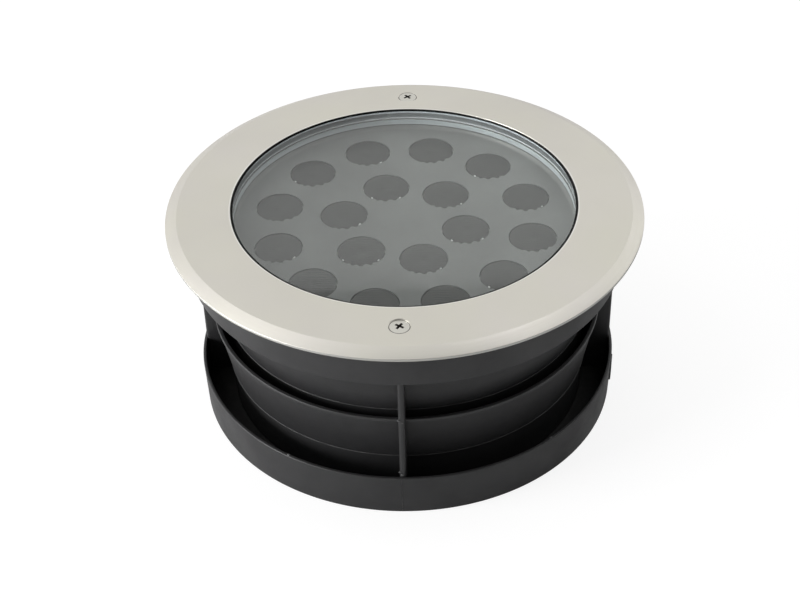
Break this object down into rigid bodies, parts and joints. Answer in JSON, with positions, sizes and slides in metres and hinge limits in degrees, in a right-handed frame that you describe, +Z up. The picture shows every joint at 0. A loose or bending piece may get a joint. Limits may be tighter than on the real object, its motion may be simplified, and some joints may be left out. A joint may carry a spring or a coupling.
{
  "type": "in ground well light",
  "caption": "Round drive-over well light: sealed lamp with a bevelled steel face ring, stepped glass and grouped optics, lifting out of a black moulded embedding sleeve held by face screws",
  "frame": {"origin": "centre of the sleeve's foot, on the plane it stands on", "axes": "+Z up out of the ground; the face screws lie on the Y axis, the sleeve's ribs on the X and Y axes"},
  "size_m": [0.24, 0.24, 0.1114],
  "materials": {
    "mounting_sleeve": "matt black moulding with a fine grain",
    "sleeve_inserts": "turned",
    "sleeve_seal": "closed-cell foam",
    "face_ring": "fine satin, bright bevel",
    "ring_studs": "turned, welded",
    "ring_screws": "plain",
    "glass_lens": "clear tempered, ground edge",
    "glass_gasket": "black silicone",
    "glass_seat_seal": "grey silicone",
    "lamp_housing": "black powder coat on die-cast aluminium",
    "optic_tray": "mid grey, satin",
    "lens_holders": "black",
    "lenses": "clear acrylic",
    "led_emitters": "phosphor",
    "led_board": "white solder mask on aluminium",
    "thermal_pad": "soft grey pad",
    "board_screws": "plain",
    "driver_case": "potted case",
    "driver_screws": "plain",
    "terminal_block": "white nylon",
    "terminal_screw": "plain",
    "earth_screw": "plain",
    "led_leads": "silicone insulation",
    "supply_leads": "insulation",
    "lead_grommet": "black rubber",
    "base_cover": "black powder coat",
    "base_gasket": "silicone",
    "base_screws": "plain",
    "gland_body": "black nylon",
    "gland_washer": "black rubber",
    "gland_locknut": "black nylon",
    "gland_insert": "black rubber",
    "gland_cap": "black nylon",
    "face_screw_back": "polished",
    "face_screw_front": "polished"
  },
  "bodies": {
    "sleeve": {"mounting_sleeve": "mounting_sleeve", "sleeve_inserts": "sleeve_inserts", "sleeve_seal": "sleeve_seal"},
    "lamp": {"face_ring": "face_ring", "ring_studs": "ring_studs", "ring_screws": "ring_screws", "glass_lens": "glass_lens", "glass_gasket": "glass_gasket", "glass_seat_seal": "glass_seat_seal", "lamp_housing": "lamp_housing", "optic_tray": "optic_tray", "lens_holders": "lens_holders", "lenses": "lenses", "led_emitters": "led_emitters", "led_board": "led_board", "thermal_pad": "thermal_pad", "board_screws": "board_screws", "driver_case": "driver_case", "driver_screws": "driver_screws", "terminal_block": "terminal_block", "terminal_screw": "terminal_screw", "earth_screw": "earth_screw", "led_leads": "led_leads", "supply_leads": "supply_leads", "lead_grommet": "lead_grommet", "base_cover": "base_cover", "base_gasket": "base_gasket", "base_screws": "base_screws", "gland_body": "gland_body", "gland_washer": "gland_washer", "gland_locknut": "gland_locknut", "gland_insert": "gland_insert", "gland_cap": "gland_cap"},
    "screw_back": {"face_screw_back": "face_screw_back"},
    "screw_front": {"face_screw_front": "face_screw_front"}
  },
  "joints": [
    {"name": "lamp_lift", "type": "slide", "parent": "sleeve", "child": "lamp", "axis": [0, 0, 1], "range_m": [0, 0.105]},
    {"name": "screw_back_draw", "type": "slide", "parent": "lamp", "child": "screw_back", "axis": [0, 0, 1], "range_m": [0, 0.024]},
    {"name": "screw_front_draw", "type": "slide", "parent": "lamp", "child": "screw_front", "axis": [0, 0, 1], "range_m": [0, 0.024]}
  ]
}
